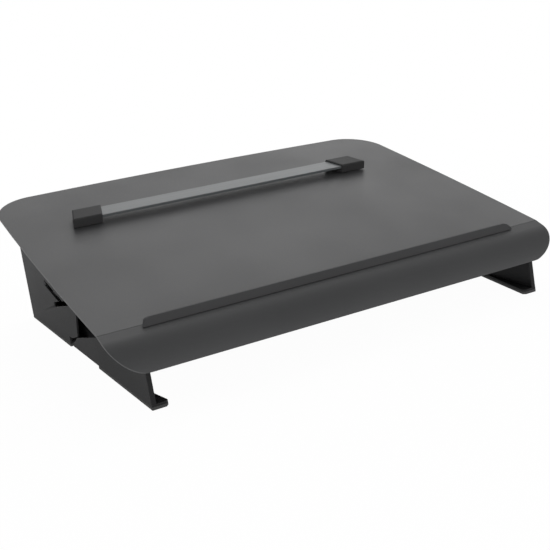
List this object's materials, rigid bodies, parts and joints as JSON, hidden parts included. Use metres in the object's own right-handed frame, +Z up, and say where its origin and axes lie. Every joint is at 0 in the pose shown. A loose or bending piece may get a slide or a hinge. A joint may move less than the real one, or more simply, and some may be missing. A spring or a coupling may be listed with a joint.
{
  "type": "document holder with drawer",
  "caption": "Sloped desk document holder with a curved-nose board, paper lip, sliding line guide, rear prop for tilt and a shallow drawer beneath.",
  "frame": {"origin": "centre of the bounding box's base, on the desk", "axes": "+X to the right along the board, +Y from the front nose to the rear edge, +Z up from the desk"},
  "size_m": [0.5086, 0.3546, 0.137],
  "materials": {
    "board_paint": "satin charcoal powder coat",
    "base_paint": "satin black powder coat",
    "lip_plastic": "fine matte",
    "cap_plastic": "fine matte",
    "bar_grey": "satin grey, opaque",
    "magnet_nickel": "nickel plated",
    "pad_felt": "thin felt",
    "zinc_steel": "zinc plated",
    "nylon": "natural nylon",
    "foot_rubber": "matte",
    "drawer_plastic": "moulded matte",
    "drawer_front_paint": "satin powder coat",
    "mat_rubber": "ribbed mat"
  },
  "bodies": {
    "base": {"leg_plate_left": "base_paint", "leg_plate_right": "base_paint", "rear_panel_left": "base_paint", "rear_panel_right": "base_paint", "rear_rail": "base_paint", "rest_bumpers": "foot_rubber", "pivot_axle": "zinc_steel", "axle_caps": "cap_plastic", "drawer_case": "base_paint", "case_screws": "zinc_steel", "case_nuts": "zinc_steel", "case_runner_left": "zinc_steel", "case_runner_right": "zinc_steel", "back_bumpers": "foot_rubber", "front_foot_pad_left": "foot_rubber", "front_foot_pad_right": "foot_rubber", "rear_foot_pad_left": "foot_rubber", "rear_foot_pad_right": "foot_rubber"},
    "board": {"platform_board": "board_paint", "document_lip": "lip_plastic", "side_rib_left": "base_paint", "side_rib_right": "base_paint", "cross_channel_front": "base_paint", "cross_channel_rear": "base_paint", "pivot_bushes": "nylon", "prop_pins": "zinc_steel", "prop_washers": "nylon", "prop_clips": "zinc_steel"},
    "prop": {"prop_arm_left": "base_paint", "prop_arm_right": "base_paint", "prop_rod": "base_paint"},
    "guide": {"guide_bar": "bar_grey", "guide_cap_left": "cap_plastic", "guide_cap_right": "cap_plastic", "guide_magnets": "magnet_nickel", "guide_pads": "pad_felt"},
    "drawer": {"drawer_tray": "drawer_plastic", "drawer_front": "drawer_front_paint", "drawer_pull": "drawer_front_paint", "drawer_slide_left": "drawer_plastic", "drawer_slide_right": "drawer_plastic", "pen_divider_left": "drawer_plastic", "pen_divider_right": "drawer_plastic", "drawer_mat": "mat_rubber"}
  },
  "joints": [
    {"name": "tilt", "type": "hinge", "parent": "base", "child": "board", "pos_m": [0, -0.15056, 0.0365], "axis": [1, 0, 0], "range_deg": [0, 15]},
    {"name": "prop_swing", "type": "hinge", "parent": "board", "child": "prop", "pos_m": [0, -0.00463, 0.04993], "axis": [-1, 0, 0], "range_deg": [0, 38.3]},
    {"name": "guide_slide", "type": "slide", "parent": "board", "child": "guide", "axis": [0, 0.9778, 0.2096], "range_m": [-0.21, 0.08]},
    {"name": "drawer_slide", "type": "slide", "parent": "base", "child": "drawer", "axis": [0, -1, 0], "range_m": [0, 0.18]}
  ],
  "couplings": [
    {"joint": "prop_swing", "follows": "tilt", "ratio": 2.555}
  ]
}
